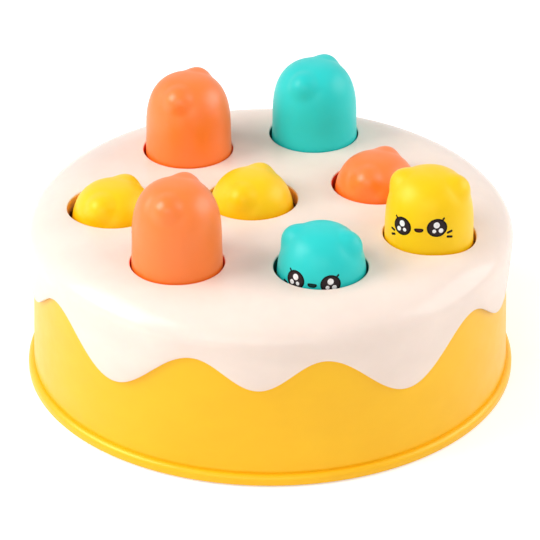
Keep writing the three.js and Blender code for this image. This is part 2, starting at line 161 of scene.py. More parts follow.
# Columns round each kind of form, and rows along it. The skirt's rows crowd towards its edge.
CAKE_COLUMNS = 720
SHOULDER_COLUMNS = 360
HOLE_COLUMNS = 120
HEAD_COLUMNS = 144
SMALL_COLUMNS = 48
SHOULDER_ROWS = 20
SKIRT_ROWS = 45
SKIRT_CROWDING = 1.6
LINING_ROWS = 7
INNER_SHOULDER_ROWS = 8
WALL_ROWS = 28
HEAD_SIDE_ROWS = 16
DOME_ROWS = 49
HOLLOW_ROWS = 14
SHARP_DEGREES = 40

# The icing's top and ceiling are pierced sheets out to these radii, with loose points at this step.
# A second ring of points round each hole keeps its rim even.
TOP_SHEET_RADIUS = 90.0
CEILING_SHEET_RADIUS = 91.0
SHEET_STEP = 1.2
RIM_SUPPORT = 0.5
RIM_MARGIN = SHEET_STEP * 0.6

# The way that each head's face looks in degrees, its colour, and how far it has shifted to the
# right within the play of its hole
MOLES = {
    "back_left": (160, "mole_coral", 0.25),
    "centre": (160, "mole_yellow", -0.25),
    "back_right": (155, "mole_teal", 0.25),
    "right": (158, "mole_coral", -0.25),
    "front_left": (163, "mole_coral", 0.0),
    "left": (155, "mole_yellow", 0.25),
    "front_right": (-106, "mole_yellow", -0.25),
    "front": (-106, "mole_teal", 0.25),
}

# Where each print sits on its head: the turn round the head, the drop from the crown and the tilt
PRINT_USUAL = (-27, 16.6, 0)
PRINTS = {
    "front_right": (-0.5, 17.0, 4.5),
    "front": (2.9, 15.8, -1.4),
}

# Faces printed on the heads. A point of the print is its way round the head, and up. The mouth's
# top and bottom bow by these amounts, and the powers square its outline.
EYE_PLACE = 7.45
EYE_WIDE = 4.28
EYE_TALL = 3.85
IRIS_SHARE = 0.84
GLINTS = [(-0.1, 1.2, 1.3), (1.45, -1.25, 1.0), (-1.3, -1.2, 0.8)]
LASH = ((2.3, 2.6), (3.3, 3.5))
LASH_HALF = 0.38
WHISKERS = [((11.7, -2.8), (13.3, -2.5)), ((11.5, -4.5), (13.2, -5.0))]
WHISKER_HALF = 0.5
MOUTH_WIDE = 1.95
MOUTH_TOP_BOW = 0.543375
MOUTH_BOTTOM_BOW = 1.2075
MOUTH_HEIGHT = -0.4
MOUTH_SIDE_POWER = 0.8
MOUTH_TOP_POWER = 0.6
MOUTH_BOTTOM_POWER = 0.9
MOUTH_INSIDE_SHARE = 0.62
INK_LIFT = 0.05
PRINT_POINTS = 40
GLINT_POINTS = 28
DASH_END_POINTS = 9
PLATE_SHARES = (1.0, 0.97, 0.75, 0.5, 0.25)

# Moulded plastic: the scales of its noises, the heights of its skin, the shades of its flow marks,
# clouds and worn edges, and how light spreads inside it
FLOW_SCALE = 38
LUMP_SCALE = 75
CLOUD_SCALE = 140
WEAR_SCALE = 420
GRAIN_SCALE = 1500
CLOUD_RISE = 0.05
GRAIN_RISE = 0.012
FLOW_SHADES = (0.965, 1.03)
CLOUD_SHADE = 0.93
WORN_SHADE = 1.25
WEAR_RADIUS = 0.7
PLASTIC_IOR = 1.5
SPREAD_DEPTH = 2.5
SPREAD_SHARES = (1.0, 0.5, 0.3)
WHITE = (1.0, 1.0, 1.0, 1.0)
STRAW = (1.0, 0.92, 0.35, 1.0)

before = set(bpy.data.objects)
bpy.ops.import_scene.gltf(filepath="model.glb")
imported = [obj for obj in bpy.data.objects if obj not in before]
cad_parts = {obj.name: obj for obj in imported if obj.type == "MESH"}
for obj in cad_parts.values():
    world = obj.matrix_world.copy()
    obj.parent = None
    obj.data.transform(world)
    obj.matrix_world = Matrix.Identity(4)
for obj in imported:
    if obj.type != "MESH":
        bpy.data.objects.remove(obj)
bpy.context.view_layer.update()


# Places read from the frame


def node_box(name):
    low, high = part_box(name)
    return np.array(low) / MM, np.array(high) / MM


def node_centre(name):
    low, high = node_box(name)
    return (low + high) / 2


BASE_LOW, BASE_HIGH = node_box("cake_base")
RIM = BASE_LOW[2]
BASE_RADIUS = BASE_HIGH[0]
ICING_TOP = node_box("icing_cap")[1][2]
COVER_TOP = node_box("floor_cover")[1][2]
PLATE_TOP = node_box("guide_plate")[1][2]
PILLAR_BOTTOM = COVER_TOP + GAP
PILLAR_TOP = PLATE_TOP - PLATE_THICKNESS - GAP
POST_BOTTOM = PLATE_TOP + GAP
POST_PLACES = [node_centre(f"case_screw_{n}")[:2] for n in range(1, 7)]
HOLE_PLACES = {key: node_centre(f"plunger_{key}")[:2] for key in MOLES}

WALL_FOOT_RADIUS = BASE_RADIUS - BEAD_REACH
WALL_TOP_RADIUS = WALL_FOOT_RADIUS - WALL_TAPER
BASE_INNER_RADIUS = WALL_TOP_RADIUS - WALL_THICKNESS
ICING_RADIUS = WALL_TOP_RADIUS + ICING_REACH
WALL_TOP = ICING_TOP - WALL_TOP_DROP
BEAD_TOP = RIM + BEAD_HEIGHT
SHOULDER_HEIGHT = ICING_TOP - SHOULDER_DROP
SHOULDER_START = ICING_RADIUS - SHOULDER_WIDTH
INNER_SHOULDER_WIDTH = BASE_INNER_RADIUS - LEDGE_OVERHANG - SHOULDER_START
CREST = SHOULDER_HEIGHT - CREST_DROP
CEILING = ICING_TOP - ICING_THICKNESS
LEDGE = WALL_TOP + GAP
SLEEVE_BOTTOM = ICING_TOP - SLEEVE_LENGTH
HEAD_FOOT_RADIUS = HOLE_RADIUS - HEAD_CLEARANCE
HEAD_SHOULDER_RADIUS = HEAD_FOOT_RADIUS - HEAD_TAPER


# Meshes


class Shell:
    """The points and faces of a surface, built ring by ring."""

    def __init__(self):
        self.points = []
        self.faces = []

    def ring(self, points):
        first = len(self.points)
        self.points.extend(tuple(map(float, p)) for p in points)
        return list(range(first, len(self.points)))

    def join(self, one, other):
        count = len(one)
        for i in range(count):
            j = (i + 1) % count
            self.faces.append((one[i], one[j], other[j], other[i]))

    def join_all(self, rings):
        for one, other in zip(rings, rings[1:]):
            self.join(one, other)

    def close(self, ring, centre):
        """A fan of faces from a ring to one point."""
        (tip,) = self.ring([centre])
        count = len(ring)
        for i in range(count):
            self.faces.append((ring[i], ring[(i + 1) % count], tip))

    def block(self, under, over):
        """A closed block between two outlines."""
        low, high = self.ring(under), self.ring(over)
        self.join(low, high)
        self.faces += [tuple(low), tuple(high)]


def make_mesh(name, shell):
    mesh = bpy.data.meshes.new(name)
    mesh.from_pydata([tuple(c * MM for c in p) for p in shell.points], [], shell.faces)
    edit = bmesh.new()
    edit.from_mesh(mesh)
    bmesh.ops.recalc_face_normals(edit, faces=edit.faces)
    edit.to_mesh(mesh)
    edit.free()
    mesh.shade_smooth()
    mesh.set_sharp_from_angle(angle=math.radians(SHARP_DEGREES))
    return mesh


def make_piece(name, mesh, material, body, replaced=()):
    piece = bpy.data.objects.new(name, mesh)
    bpy.context.scene.collection.objects.link(piece)
    mesh.materials.clear()
    mesh.materials.append(material)
    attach(piece, body)
    if replaced:
        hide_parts(*replaced)
    return piece


def weigh_normals(piece):
    """Keeps large flat faces evenly shaded beside small ones."""
    modifier = piece.modifiers.new("even_shading", "WEIGHTED_NORMAL")
    modifier.keep_sharp = True
    modifier.weight = 80


def angles(count):
    return np.arange(count) / count * TURN


def circle(radius, height, count, x=0.0, y=0.0):
    around = angles(count)
    radius = np.broadcast_to(radius, count)
    height = np.broadcast_to(height, count)
    return np.stack([x + radius * np.cos(around), y + radius * np.sin(around), height], 1)


def lathe(shell, profile, count, x=0.0, y=0.0):
    """Turns a profile of radii and heights about an upright axis."""
    rings = [shell.ring(circle(r, z, count, x, y)) for r, z in profile]
    shell.join_all(rings)
    return rings


def arc(centre, radius, start, end, count):
    """Points of a profile's rounding, from one angle to another in degrees."""
    turns = np.radians(np.linspace(start, end, count))
    return [(centre[0] + radius * math.cos(a), centre[1] + radius * math.sin(a)) for a in turns]


# Icing cap


def wall_radius(height):
    share = (height - BEAD_TOP) / (WALL_TOP - BEAD_TOP)
    return WALL_FOOT_RADIUS + (WALL_TOP_RADIUS - WALL_FOOT_RADIUS) * share


def drip_edge(around):
    """Height of the skirt's wavy edge at angles round the cake."""
    pairs = (around - FIRST_DRIP) * DRIP_PAIRS / TURN
    from_long = np.abs(pairs - np.round(pairs))
    is_long = from_long < LONG_WIDTH_SHARE / 2
    short_share = (0.5 - from_long) / (1 - LONG_WIDTH_SHARE)
    share = np.where(is_long, from_long / LONG_WIDTH_SHARE, short_share)
    drop = np.where(is_long, LONG_DRIP, SHORT_DRIP)
    return CREST - drop * (1 + np.cos(share * TURN)) / 2


def rounded_height(radius, start, width, low, high):
    """A flat top that falls over a quarter ellipse beyond a starting radius."""
    share = np.clip((radius - start) / width, 0, 1)
    return low + (high - low) * np.sqrt(1 - share**2)


def icing_height(x, y):
    return rounded_height(
        np.hypot(x, y), SHOULDER_START, SHOULDER_WIDTH, SHOULDER_HEIGHT, ICING_TOP
    )


def ceiling_height(x, y):
    return rounded_height(
        np.hypot(x, y), SHOULDER_START, INNER_SHOULDER_WIDTH, LEDGE, CEILING
    )


def edge_distance(around, heights, edge):
    """Distance of each skirt point from the wavy edge, along the skirt's surface. It looks at the
    edge over the nearest columns only."""
    reach = 14
    step = ICING_RADIUS * TURN / len(around)
    nearest = np.full(heights.shape, np.inf)
    for k in range(-reach, reach):
        ax, bx = k * step, (k + 1) * step
        az, bz = np.roll(edge, -k), np.roll(edge, -k - 1)
        length = (bx - ax) ** 2 + (bz - az) ** 2
        share = np.clip((-ax * (bx - ax) + (heights - az) * (bz - az)) / length, 0, 1)
        gap = np.hypot(ax + share * (bx - ax), az + share * (bz - az) - heights)
        nearest = np.minimum(nearest, gap)
    return nearest


def pierced_sheet(shell, height, outer, rings, spots):
    """A sheet inside a circle. Each ring in it is x, y, radius and whether it is an opening, and
    spots are loose points. Returns the outer ring's points and then those of each ring."""
    flat = [circle(outer, 0, CAKE_COLUMNS)[:, :2]]
    flat += [circle(r, 0, HOLE_COLUMNS, x, y)[:, :2] for x, y, r, _ in rings]
    loops, edges, first = [], [], 0
    for loop in flat:
        own = list(range(first, first + len(loop)))
        loops.append(own)
        edges += list(zip(own, own[1:] + own[:1]))
        first += len(loop)
    points = np.concatenate([*flat, spots])
    made = delaunay_2d_cdt([Vector(p) for p in points], edges, [], 0, 1e-6, True)
    spread = np.array([tuple(p) for p in made[0]])
    place = {origin: i for i, origins in enumerate(made[3]) for origin in origins}
    lifted = np.column_stack([spread, height(spread[:, 0], spread[:, 1])])
    ids = shell.ring(lifted)
    for face in made[2]:
        x, y = spread[list(face)].mean(0)
        inside = any(
            open_ and math.hypot(x - cx, y - cy) < r * math.cos(math.pi / HOLE_COLUMNS)
            for cx, cy, r, open_ in rings
        )
        if not inside:
            shell.faces.append(tuple(ids[i] for i in face))
    return [[ids[place[i]] for i in loop] for loop in loops]


def grid_spots(first, last, step, keep_out):
    """Loose points in rings on the shoulder, clear of what is in keep_out."""
    radii = np.arange(first, last, step)
    spots = np.concatenate([circle(r, 0, SHOULDER_COLUMNS)[:, :2] for r in radii])
    for x, y, radius in keep_out:
        spots = spots[np.hypot(spots[:, 0] - x, spots[:, 1] - y) > radius]
    return spots


def icing_mesh():
    shell = Shell()
    bore = HOLE_RADIUS - HOLE_TRIM
    rim = bore + HOLE_ROUNDING
    holes = list(HOLE_PLACES.values())

    # Outside of the top, from the middle to part way down the shoulder
    openings = [(x, y, rim, True) for x, y in holes]
    supports = [(x, y, rim + RIM_SUPPORT, False) for x, y in holes]
    keep_out = [(x, y, r + RIM_MARGIN) for x, y, r, _ in supports]
    spots = grid_spots(SHOULDER_START, TOP_SHEET_RADIUS - SHEET_STEP / 2, SHEET_STEP, keep_out)
    loops = pierced_sheet(shell, icing_height, TOP_SHEET_RADIUS, openings + supports, spots)
    top_ring, hole_rings = loops[0], loops[1 : 1 + len(holes)]

    # Rounded rims and the sleeves below them
    sleeve_rings = []
    for (x, y), ring in zip(holes, hole_rings):
        rings = [ring]
        for tilt in np.radians(HOLE_ROUNDING_TILTS):
            points = circle(bore + HOLE_ROUNDING * (1 - math.sin(tilt)), 0, HOLE_COLUMNS, x, y)
            fall = HOLE_ROUNDING * (1 - math.cos(tilt))
            points[:, 2] = icing_height(points[:, 0], points[:, 1]) - fall
            rings.append(shell.ring(points))
        mouth = shell.ring(circle(bore, SLEEVE_BOTTOM, HOLE_COLUMNS, x, y))
        outer = shell.ring(circle(HOLE_RADIUS + SLEEVE_WALL, SLEEVE_BOTTOM, HOLE_COLUMNS, x, y))
        shell.join_all([*rings, mouth, outer])
        sleeve_rings.append(outer)

    # Shoulder and skirt on the outside
    around = angles(CAKE_COLUMNS)
    edge = drip_edge(around)
    rings = [top_ring]
    first_tilt = math.asin((TOP_SHEET_RADIUS - SHOULDER_START) / SHOULDER_WIDTH)
    for tilt in np.linspace(first_tilt, TURN / 4, SHOULDER_ROWS)[1:]:
        radius = SHOULDER_START + SHOULDER_WIDTH * math.sin(tilt)
        height = SHOULDER_HEIGHT + SHOULDER_DROP * math.cos(tilt)
        rings.append(shell.ring(circle(radius, height, CAKE_COLUMNS)))
    shares = 1 - (1 - np.linspace(0, 1, SKIRT_ROWS)[1:]) ** SKIRT_CROWDING
    heights = SHOULDER_HEIGHT + (edge - SHOULDER_HEIGHT) * shares[:, None]
    from_edge = edge_distance(around, heights, edge)
    bulge = ICING_BULGE * np.minimum((SHOULDER_HEIGHT - heights) / BULGE_DROP, 1) ** 2
    full = ICING_RADIUS + bulge
    lip = wall_radius(heights) + GAP + DRIP_LIP
    rounding = np.sqrt(1 - (1 - np.minimum(from_edge / DRIP_ROUNDING, 1)) ** 2)
    radii = lip + (full - lip) * rounding
    rings += [shell.ring(circle(r, z, CAKE_COLUMNS)) for r, z in zip(radii, heights)]

    # Inside of the skirt up to the ledge, then the inner shoulder
    for share in np.linspace(1, 0, LINING_ROWS):
        inner = LEDGE + (edge - LEDGE) * share
        rings.append(shell.ring(circle(wall_radius(inner) + GAP, inner, CAKE_COLUMNS)))
    last_tilt = math.asin((CEILING_SHEET_RADIUS - SHOULDER_START) / INNER_SHOULDER_WIDTH)
    for tilt in np.linspace(TURN / 4, last_tilt, INNER_SHOULDER_ROWS)[:-1]:
        radius = SHOULDER_START + INNER_SHOULDER_WIDTH * math.sin(tilt)
        height = LEDGE + (CEILING - LEDGE) * math.cos(tilt)
        rings.append(shell.ring(circle(radius, height, CAKE_COLUMNS)))

    # Ceiling with the sleeves' roots and the screw posts
    sleeves = [(x, y, HOLE_RADIUS + SLEEVE_WALL, True) for x, y in holes]
    posts = [(x, y, POST_RADIUS, True) for x, y in POST_PLACES]
    keep_out = [(x, y, r + SHEET_STEP) for x, y, r, _ in sleeves + posts]
    last = CEILING_SHEET_RADIUS - SHEET_STEP
    spots = grid_spots(SHOULDER_START, last, 2 * SHEET_STEP, keep_out)
    loops = pierced_sheet(shell, ceiling_height, CEILING_SHEET_RADIUS, sleeves + posts, spots)
    shell.join_all([*rings, loops[0]])
    for outer, root in zip(sleeve_rings, loops[1:]):
        shell.join(outer, root)
    profile = [
        (POST_RADIUS, POST_BOTTOM + POST_CHAMFER),
        (POST_RADIUS - POST_CHAMFER, POST_BOTTOM),
        (BORE_RADIUS, POST_BOTTOM),
        (BORE_RADIUS, POST_BOTTOM + BORE_DEPTH),
    ]
    for (x, y), root in zip(POST_PLACES, loops[1 + len(sleeves) :]):
        own = lathe(shell, profile, HOLE_COLUMNS, x, y)
        shell.join(root, own[0])
        shell.close(own[-1], (x, y, POST_BOTTOM + BORE_DEPTH))
    return make_mesh("icing", shell)


def bounce_lining_mesh(name, x, y):
    """A wall in a hole below the icing's rim, coloured after the head in the hole: its colour is
    painted bounce light from that head in the gap.
    """
    inner, outer = HOLE_RADIUS - BOUNCE_LINING_STAND, HOLE_RADIUS + BOUNCE_LINING_BITE
    shell = Shell()
    rings = []
    upper = [
        (outer, BOUNCE_LINING_DROP),
        (inner + BOUNCE_LINING_CHAMFER, BOUNCE_LINING_DROP),
        (inner, BOUNCE_LINING_DROP + BOUNCE_LINING_CHAMFER),
    ]
    for radius, drop in upper:
        points = circle(radius, 0, HOLE_COLUMNS, x, y)
        points[:, 2] = icing_height(points[:, 0], points[:, 1]) - drop
        rings.append(shell.ring(points))
    for radius in (inner, outer):
        rings.append(shell.ring(circle(radius, SLEEVE_BOTTOM - BOUNCE_LINING_BITE, HOLE_COLUMNS, x, y)))
    shell.join_all([*rings, rings[0]])
    return make_mesh(name, shell)


# Cake base


def base_shell():
    foot, rounding = BEAD_FOOT_ROUNDING, BEAD_ROUNDING
    outside = [
        *arc((BASE_RADIUS - foot, RIM + foot), foot, -90, 0, 7),
        *arc((BASE_RADIUS - rounding, BEAD_TOP - rounding), rounding, 0, 80, 8),
        *[(WALL_FOOT_RADIUS - inwards, BEAD_TOP + up) for inwards, up in BEAD_CREASE],
    ]
    climb = np.linspace(BEAD_TOP + 2 * CREASE_HEIGHT, WALL_TOP - WALL_CHAMFER_DROP, WALL_ROWS)
    outside += [(wall_radius(z), z) for z in (BEAD_TOP + CREASE_HEIGHT, *climb)]
    inside = [
        (WALL_TOP_RADIUS - WALL_CHAMFER, WALL_TOP),
        (BASE_INNER_RADIUS + WALL_CHAMFER, WALL_TOP),
        (BASE_INNER_RADIUS, WALL_TOP - WALL_CHAMFER),
        (BASE_INNER_RADIUS, RIM + WALL_CHAMFER),
        (BASE_INNER_RADIUS + WALL_CHAMFER, RIM),
    ]
    shell = Shell()
    rings = lathe(shell, outside + inside, CAKE_COLUMNS)
    shell.join(rings[-1], rings[0])
    return shell


def pillar_shell(x, y):
    """A hollow pillar for a screw."""
    profile = [
        (POST_RADIUS, PILLAR_BOTTOM),
        (POST_RADIUS, PILLAR_TOP),
        (BORE_RADIUS, PILLAR_TOP),
        (BORE_RADIUS, PILLAR_BOTTOM),
    ]
    shell = Shell()
    rings = lathe(shell, profile, SMALL_COLUMNS, x, y)
    shell.join(rings[-1], rings[0])
    return shell


def rib_shell(x, y):
    """The rib that ties a pillar to the wall. It runs a little way into both."""
    shell = Shell()
    away = np.array([x, y]) / math.hypot(x, y)
    side = np.array([-away[1], away[0]]) * RIB_THICKNESS / 2
    near = np.array([x, y]) + away * (POST_RADIUS - RIB_BITE)
    far = away * (BASE_INNER_RADIUS + RIB_BITE)
    corners = [near - side, far - side, far + side, near + side]
    shell.block([(*c, PILLAR_BOTTOM) for c in corners], [(*c, PILLAR_TOP) for c in corners])
    return shell


def combined(name, first, others, operation, sharp_degrees=SHARP_DEGREES):
    """One mesh from several by exact booleans."""
    holder = bpy.data.objects.new(name, first)
    bpy.context.scene.collection.objects.link(holder)
    helpers = []
    for other in others:
        helper = bpy.data.objects.new("helper", other)
        bpy.context.scene.collection.objects.link(helper)
        helpers.append(helper)
        modifier = holder.modifiers.new("join", "BOOLEAN")
        modifier.operation = operation
        modifier.solver = "EXACT"
        modifier.object = helper
    bpy.context.view_layer.update()
    graph = bpy.context.evaluated_depsgraph_get()
    made = bpy.data.meshes.new_from_object(holder.evaluated_get(graph))
    made.name = name
    made.set_sharp_from_angle(angle=math.radians(sharp_degrees))
    for spare in [holder, *helpers]:
        bpy.data.objects.remove(spare)
    return made


def base_mesh():
    parts = []
    for x, y in POST_PLACES:
        parts += [make_mesh("pillar", pillar_shell(x, y)), make_mesh("rib", rib_shell(x, y))]
    return combined("cake", make_mesh("cake", base_shell()), parts, "UNION")


# Mole heads


def smooth_least(one, other, blend):
    """The lesser of two distances, with a fillet where the shapes meet."""
    share = np.maximum(blend - np.abs(one - other), 0) / blend
    return np.minimum(one, other) - share**2 * blend / 4


def head_field(points, length):
    """Below zero inside the head. Its face looks along +X and its foot is at zero height."""
    x, y, z = points[..., 0], points[..., 1], points[..., 2]
    shoulder = length - DOME_HEIGHT
    rise = np.clip((z - shoulder) / DOME_HEIGHT, 0, None)
    side = HEAD_FOOT_RADIUS - HEAD_TAPER * np.clip(z / shoulder, 0, 1)
    across = np.hypot(x, y) / side
    k = DOME_SQUARENESS
    body = ((across**k + rise**k) ** (1 / k) - 1) * side
    ears = np.min(
        [
            np.sqrt(x**2 + (y - s * EAR_OFFSET) ** 2 + (z - length + EAR_DROP) ** 2) - EAR_RADIUS
            for s in (-1, 1)
        ],
        axis=0,
    )
    return smooth_least(body, ears, EAR_BLEND)


def head_reach(origins, directions, length):
    """Where rays from points inside the head meet its surface, found by halving."""
    near = np.zeros(origins.shape[:-1])
    far = np.full(origins.shape[:-1], LONGEST_REACH)
    for _ in range(HALVINGS):
        middle = (near + far) / 2
        inside = head_field(origins + directions * middle[..., None], length) < 0
        near = np.where(inside, middle, near)
        far = np.where(inside, far, middle)
    return origins + directions * near[..., None]


def head_mesh(name, length):
    shell = Shell()
    around = angles(HEAD_COLUMNS)
    flat = np.stack([np.cos(around), np.sin(around), 0 * around], 1)
    shoulder = length - DOME_HEIGHT
    rings = [shell.ring(circle(HEAD_FOOT_RADIUS - HEAD_FOOT_ROUNDING, 0, HEAD_COLUMNS))]
    for z in np.linspace(HEAD_FOOT_ROUNDING, shoulder, HEAD_SIDE_ROWS)[:-1]:
        origins = np.broadcast_to([0, 0, z], flat.shape)
        rings.append(shell.ring(head_reach(origins, flat, length)))
    middle = np.broadcast_to([0, 0, shoulder], flat.shape)
    for tilt in np.linspace(0, TURN / 4, DOME_ROWS)[:-1]:
        directions = flat * math.cos(tilt) + np.array([0, 0, math.sin(tilt)])
        rings.append(shell.ring(head_reach(middle, directions, length)))
    shell.join_all(rings)
    tip = head_reach(np.array([[0, 0, shoulder]]), np.array([[0, 0, 1.0]]), length)[0]
    shell.close(rings[-1], tip)

    # The hollow inside, with the bored boss that turns on the plunger's spindle
    inner_foot = HEAD_FOOT_RADIUS - HEAD_WALL
    inner_shoulder = HEAD_SHOULDER_RADIUS - HEAD_WALL
    inner_height = DOME_HEIGHT - HEAD_WALL
    k = DOME_SQUARENESS
    first = math.asin((BOSS_RADIUS / inner_shoulder) ** (k / 2))
    profile = [(inner_foot, 0)]
    for tilt in np.linspace(TURN / 4, first, HOLLOW_ROWS):
        out, up = math.sin(tilt) ** (2 / k), math.cos(tilt) ** (2 / k)
        profile.append((inner_shoulder * out, shoulder + inner_height * up))
    profile += [
        (BOSS_RADIUS, BOSS_BOTTOM),
        (BOSS_BORE, BOSS_BOTTOM),
        (BOSS_BORE, BOSS_BOTTOM + BOSS_BORE_DEPTH),
    ]
    inner = lathe(shell, profile, HEAD_COLUMNS)
    shell.join(rings[0], inner[0])
    shell.close(inner[-1], (0, 0, BOSS_BOTTOM + BOSS_BORE_DEPTH))
    return make_mesh(name, shell)


def placed(mesh, x, y, z, degrees):
    """The mesh turned about the upright axis and moved, its points in metres."""
    turn = math.radians(degrees)
    co = np.zeros(len(mesh.vertices) * 3, np.float32)
    mesh.vertices.foreach_get("co", co)
    co = co.reshape(-1, 3).astype(float)
    turned = co.copy()
    turned[:, 0] = co[:, 0] * math.cos(turn) - co[:, 1] * math.sin(turn) + x * MM
    turned[:, 1] = co[:, 0] * math.sin(turn) + co[:, 1] * math.cos(turn) + y * MM
    turned[:, 2] += z * MM
    mesh.vertices.foreach_set("co", turned.astype(np.float32).ravel())
    mesh.update()
    return mesh


# Printed faces


def oval(x, y, wide, tall, count=PRINT_POINTS):
    around = angles(count)
    return np.stack([x + wide * np.cos(around), y + tall * np.sin(around)], 1)


def mouth_outline(shrink=1.0):
    """A flat top and a round bottom."""
    around = angles(PRINT_POINTS)
    across, up = np.cos(around), np.sin(around)
    x = MOUTH_WIDE * np.sign(across) * np.abs(across) ** MOUTH_SIDE_POWER
    top = MOUTH_TOP_BOW * np.abs(up) ** MOUTH_TOP_POWER
    bottom = -MOUTH_BOTTOM_BOW * np.abs(up) ** MOUTH_BOTTOM_POWER
    outline = np.stack([x, MOUTH_HEIGHT + np.where(up > 0, top, bottom)], 1)
    middle = outline.mean(0)
    return middle + (outline - middle) * shrink


def dash(start, end, half):
    """A stroke with round ends."""
    start, end = np.array(start, float), np.array(end, float)
    along = math.atan2(*(end - start)[::-1])
    turns = along + np.linspace(-TURN / 4, TURN / 4, DASH_END_POINTS)
    cap = half * np.stack([np.cos(turns), np.sin(turns)], 1)
    return np.concatenate([end + cap, start - cap])


def print_plate(shell, outline, lift, head_length, place):
    """A thin plate of ink that follows the head under it. Its place on the head is a turn, a drop
    from the crown and a tilt, as in PRINTS."""
    turn, drop, tilt = place
    tilt = math.radians(tilt)
    middle = outline.mean(0)
    levels = [middle + (outline - middle) * share for share in PLATE_SHARES]
    flat = np.array([*levels, np.broadcast_to(middle, outline.shape)])
    across = flat[..., 0] * math.cos(tilt) - flat[..., 1] * math.sin(tilt)
    up = flat[..., 0] * math.sin(tilt) + flat[..., 1] * math.cos(tilt)
    around = across / HEAD_SHOULDER_RADIUS + math.radians(turn)
    directions = np.stack([np.cos(around), np.sin(around), 0 * around], -1)
    origins = np.zeros(directions.shape)
    origins[..., 2] = head_length - drop + up
    surface = head_reach(origins, directions, head_length)
    front = surface + directions * lift
    front[0] = surface[0] - directions[0] * INK_LIFT
    back = surface[:-1] - directions[:-1] * INK_LIFT
    rings = [shell.ring(row) for row in front[:-1]]
    shell.join_all(rings)
    shell.close(rings[-1], front[-1][0])
    inner = [rings[0]] + [shell.ring(row) for row in back[1:]]
    shell.join_all(inner)
    shell.close(inner[-1], surface[-1][0] - directions[-1][0] * INK_LIFT)


def face_layers():
    """The inks, the lowest first: name, lift above the head in thicknesses of ink, outlines."""
    ink, iris, glint = [], [], []
    for side in (-1, 1):
        mirror = np.array([side, 1])
        ink.append(oval(side * EYE_PLACE, 0, EYE_WIDE, EYE_TALL))
        iris.append(oval(side * EYE_PLACE, 0, EYE_WIDE * IRIS_SHARE, EYE_TALL * IRIS_SHARE))
        glint += [oval(side * (EYE_PLACE + x), y, r, r, GLINT_POINTS) for x, y, r in GLINTS]
        lash = (np.array(LASH) + np.array([EYE_PLACE, 0])) * mirror
        ink.append(dash(*lash, LASH_HALF))
        ink += [dash(np.array(a) * mirror, np.array(b) * mirror, WHISKER_HALF) for a, b in WHISKERS]
    ink.append(mouth_outline())
    return [
        ("ink", 1, ink),
        ("iris", 1.5, iris),
        ("mouth", 1.5, [mouth_outline(MOUTH_INSIDE_SHARE)]),
        ("glint", 2, glint),
    ]


# Materials


class Look:
    """The nodes of a material, or of the world, under construction."""

    def __init__(self, name, owners=bpy.data.materials):
        self.owner = owners.new(name)
        self.owner.use_nodes = True
        self.tree = self.owner.node_tree
        self.tree.nodes.clear()

    def node(self, kind, values=None, **settings):
        made = self.tree.nodes.new("ShaderNode" + kind)
        for key, value in settings.items():
            setattr(made, key, value)
        for key, value in (values or {}).items():
            if isinstance(value, bpy.types.NodeSocket):
                self.tree.links.new(value, made.inputs[key])
            else:
                made.inputs[key].default_value = value
        return made

    def noise(self, scale, detail=2.0, roughness=0.5, stretch=(1, 1, 1)):
        place = self.node("TexCoord").outputs["Object"]
        mapping = self.node("Mapping", {"Vector": place, "Scale": stretch})
        values = {
            "Vector": mapping.outputs["Vector"],
            "Scale": scale,
            "Detail": detail,
            "Roughness": roughness,
        }
        return self.node("TexNoise", values).outputs["Fac"]

    def ranged(self, value, low, high, to_low, to_high):
        values = {
            "Value": value,
            "From Min": low,
            "From Max": high,
            "To Min": to_low,
            "To Max": to_high,
        }
        return self.node("MapRange", values).outputs["Result"]

    def math(self, operation, one, other):
        return self.node("Math", {0: one, 1: other}, operation=operation).outputs[0]

    def times(self, one, other):
        return self.math("MULTIPLY", one, other)

    def mix(self, factor, one, other):
        values = {0: factor, 6: one, 7: other}
        return self.node("Mix", values, data_type="RGBA").outputs[2]

    def edge_mask(self, radius):
        """High where the surface turns sharply, as on a rim or a corner."""
        rounded = self.node("Bevel", {"Radius": radius * MM}, samples=4).outputs["Normal"]
        plain = self.node("NewGeometry").outputs["Normal"]
        alike = self.node("VectorMath", {0: rounded, 1: plain}, operation="DOT_PRODUCT")
        return self.ranged(alike.outputs["Value"], 0.995, 0.9, 0.0, 1.0)

    def bump(self, height, distance, normal=None):
        values = {"Height": height, "Distance": distance * MM}
        if normal is not None:
            values["Normal"] = normal
        return self.node("Bump", values).outputs["Normal"]

    def finish(self, values, shader="BsdfPrincipled", output="OutputMaterial"):
        surface = self.node(shader, values).outputs[0]
        self.node(output, {"Surface": surface})
        return self.owner


def linear(red, green, blue):
    """A colour written as 0 to 255, as the shader takes it."""
    shares = [c / 255 for c in (red, green, blue)]
    return (*[c / 12.92 if c <= 0.04045 else ((c + 0.055) / 1.055) ** 2.4 for c in shares], 1.0)


def scaled(colour, amount):
    """A lighter or darker shade of a colour."""
    return (*[min(c * amount, 1.0) for c in colour[:3]], 1.0)


